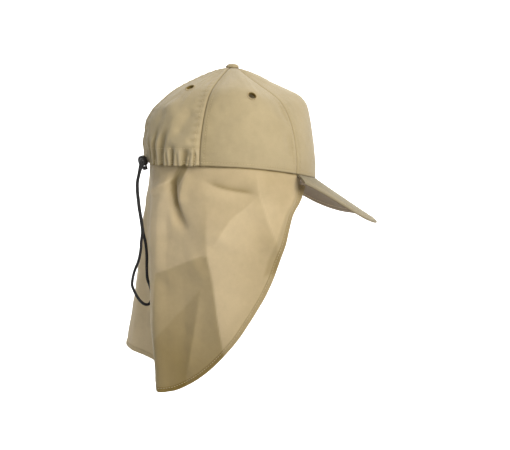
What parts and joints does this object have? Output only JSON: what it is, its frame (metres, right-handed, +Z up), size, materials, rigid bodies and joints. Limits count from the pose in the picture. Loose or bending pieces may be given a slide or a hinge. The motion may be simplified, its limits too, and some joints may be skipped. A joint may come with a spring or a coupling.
{
  "type": "neck flap cap",
  "caption": "Panelled sun cap with a long curved peak, a neck flap round the sides and back, vent eyelets, and a gathered back drawn in by a cord with a sprung lock.",
  "frame": {"origin": "middle of the head opening, at the mean height of the crown's bottom edge", "axes": "+X forwards over the peak, +Y to the wearer's left, +Z up through the crown"},
  "size_m": [0.2941, 0.1722, 0.3654],
  "materials": {
    "khaki_cloth": "matt cotton twill",
    "khaki_thread": "close satin stitch",
    "black_plastic": "satin",
    "black_cord": "braided elastic"
  },
  "bodies": {
    "cap": {"crown_front_right": "khaki_cloth", "crown_front_left": "khaki_cloth", "crown_side_right": "khaki_cloth", "crown_side_left": "khaki_cloth", "crown_back_right": "khaki_cloth", "crown_back_left": "khaki_cloth", "top_button": "khaki_cloth", "peak": "khaki_cloth", "neck_flap": "khaki_cloth", "eyelet_side_right": "khaki_thread", "eyelet_side_left": "khaki_thread", "eyelet_back_right": "khaki_thread", "eyelet_back_left": "khaki_thread", "cord_lock_body": "black_plastic", "drawcord": "black_cord"},
    "plunger": {"cord_lock_plunger": "black_plastic"}
  },
  "joints": [
    {"name": "plunger press", "type": "slide", "parent": "cap", "child": "plunger", "axis": [-0.2782, 0.0899, 0.9563], "range_m": [0, 0.0025], "stiffness_N_per_m": 600, "springref_m": -0.001}
  ]
}
